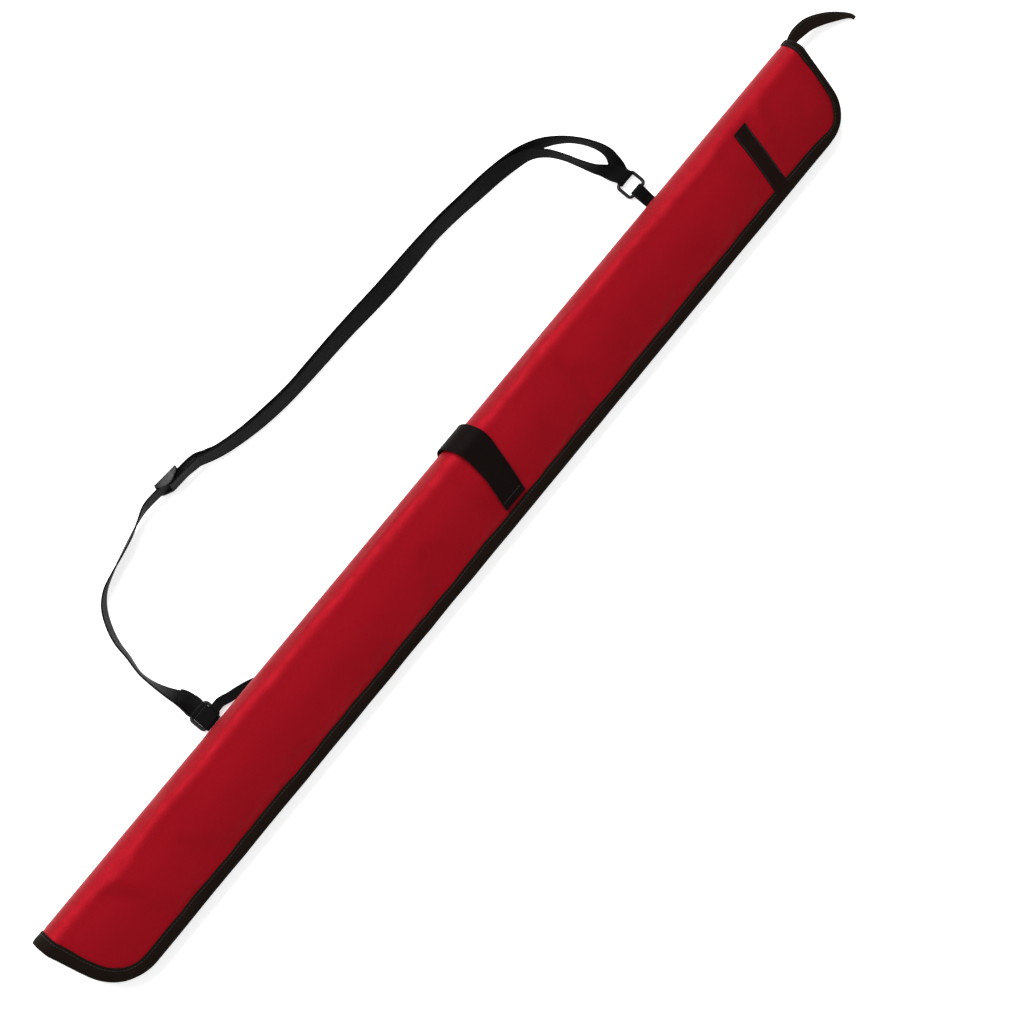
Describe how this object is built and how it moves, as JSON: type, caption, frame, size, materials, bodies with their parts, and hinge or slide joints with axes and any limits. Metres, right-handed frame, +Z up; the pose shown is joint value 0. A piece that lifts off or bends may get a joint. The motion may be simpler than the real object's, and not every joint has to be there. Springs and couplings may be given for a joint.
{
  "type": "padded ski pole case",
  "caption": "Slim padded fabric case with bound edges, side zip, hook-and-loop band, hanging tab and adjustable webbing shoulder strap.",
  "frame": {"origin": "middle of the back panel, on the surface that the case lies on", "axes": "+X along the case towards the end with the hanging tab, +Y towards the folded spine and the shoulder strap, +Z up out of the back panel"},
  "size_m": [1.0581, 0.2526, 0.0321],
  "materials": {
    "red_fabric": "satin woven polyester",
    "foam": "closed-cell foam sheet",
    "lining": "plain woven lining",
    "binding_tape": "woven binding tape",
    "zip_fabric": "woven zip tape",
    "zip_coil": "moulded coil",
    "dark_metal": "black lacquer",
    "band_webbing": "woven band",
    "hook_and_loop": "hook-and-loop pile",
    "label_cloth": "woven label",
    "strap_webbing": "ribbed polypropylene webbing",
    "plastic": "moulded acetal"
  },
  "bodies": {
    "case": {"back_outer": "red_fabric", "back_foam": "foam", "back_lining": "lining", "fold_outer": "red_fabric", "fold_foam": "foam", "fold_lining": "lining", "back_binding": "binding_tape", "fold_binding": "binding_tape", "back_zip_tape": "zip_fabric", "back_zip_teeth": "zip_coil", "zip_stops": "dark_metal", "band_root": "band_webbing", "lower_tab": "strap_webbing", "upper_tab": "strap_webbing", "strap_main": "strap_webbing", "strap_return": "strap_webbing"},
    "front": {"front_outer": "red_fabric", "front_foam": "foam", "front_lining": "lining", "front_binding": "binding_tape", "front_zip_tape": "zip_fabric", "front_zip_teeth": "zip_coil", "loop_patch": "hook_and_loop", "label": "label_cloth"},
    "band_flap": {"band_end": "band_webbing", "hook_patch": "hook_and_loop"},
    "slider": {"zip_slider": "dark_metal", "zip_pull_pin": "dark_metal"},
    "pull": {"zip_pull": "dark_metal"},
    "ring_low": {"lower_ring": "plastic", "lower_strap_loop": "strap_webbing"},
    "ring_high": {"upper_ring": "plastic", "upper_strap_turn": "strap_webbing"},
    "strap_adjuster": {"adjuster": "plastic", "strap_sewn_end": "strap_webbing"},
    "hanging_tail": {"hanging_tab": "binding_tape"}
  },
  "joints": [
    {"name": "front_open", "type": "hinge", "parent": "case", "child": "front", "pos_m": [0, 0.02652, 0.02979], "axis": [-1, 0, 0], "range_deg": [0, 150]},
    {"name": "band_peel", "type": "hinge", "parent": "front", "child": "band_flap", "pos_m": [0.045, 0.01717, 0.03117], "axis": [-0.9877, 0.1543, 0.0258], "range_deg": [0, 50]},
    {"name": "zip_slide", "type": "slide", "parent": "case", "child": "slider", "axis": [-1, 0, 0], "range_m": [0, 0.87]},
    {"name": "pull_swing", "type": "hinge", "parent": "slider", "child": "pull", "pos_m": [0.4415, -0.0425, 0.00942], "axis": [0, 0, 1], "range_deg": [0, 110]},
    {"name": "lower_ring_turn", "type": "hinge", "parent": "case", "child": "ring_low", "pos_m": [-0.26025, 0.0548, 0.0034], "axis": [0, 1, 0], "range_deg": [0, 60]},
    {"name": "upper_ring_turn", "type": "hinge", "parent": "case", "child": "ring_high", "pos_m": [0.314, 0.059, 0.0034], "axis": [1, 0, 0], "range_deg": [0, 60]},
    {"name": "adjuster_slide", "type": "slide", "parent": "case", "child": "strap_adjuster", "axis": [0.9972, -0.075, 0], "range_m": [-0.01, 0.01]},
    {"name": "tail_flex", "type": "hinge", "parent": "case", "child": "hanging_tail", "pos_m": [0.5006, 0.038, 0.0173], "axis": [0, -1, 0], "range_deg": [0, 90]}
  ]
}
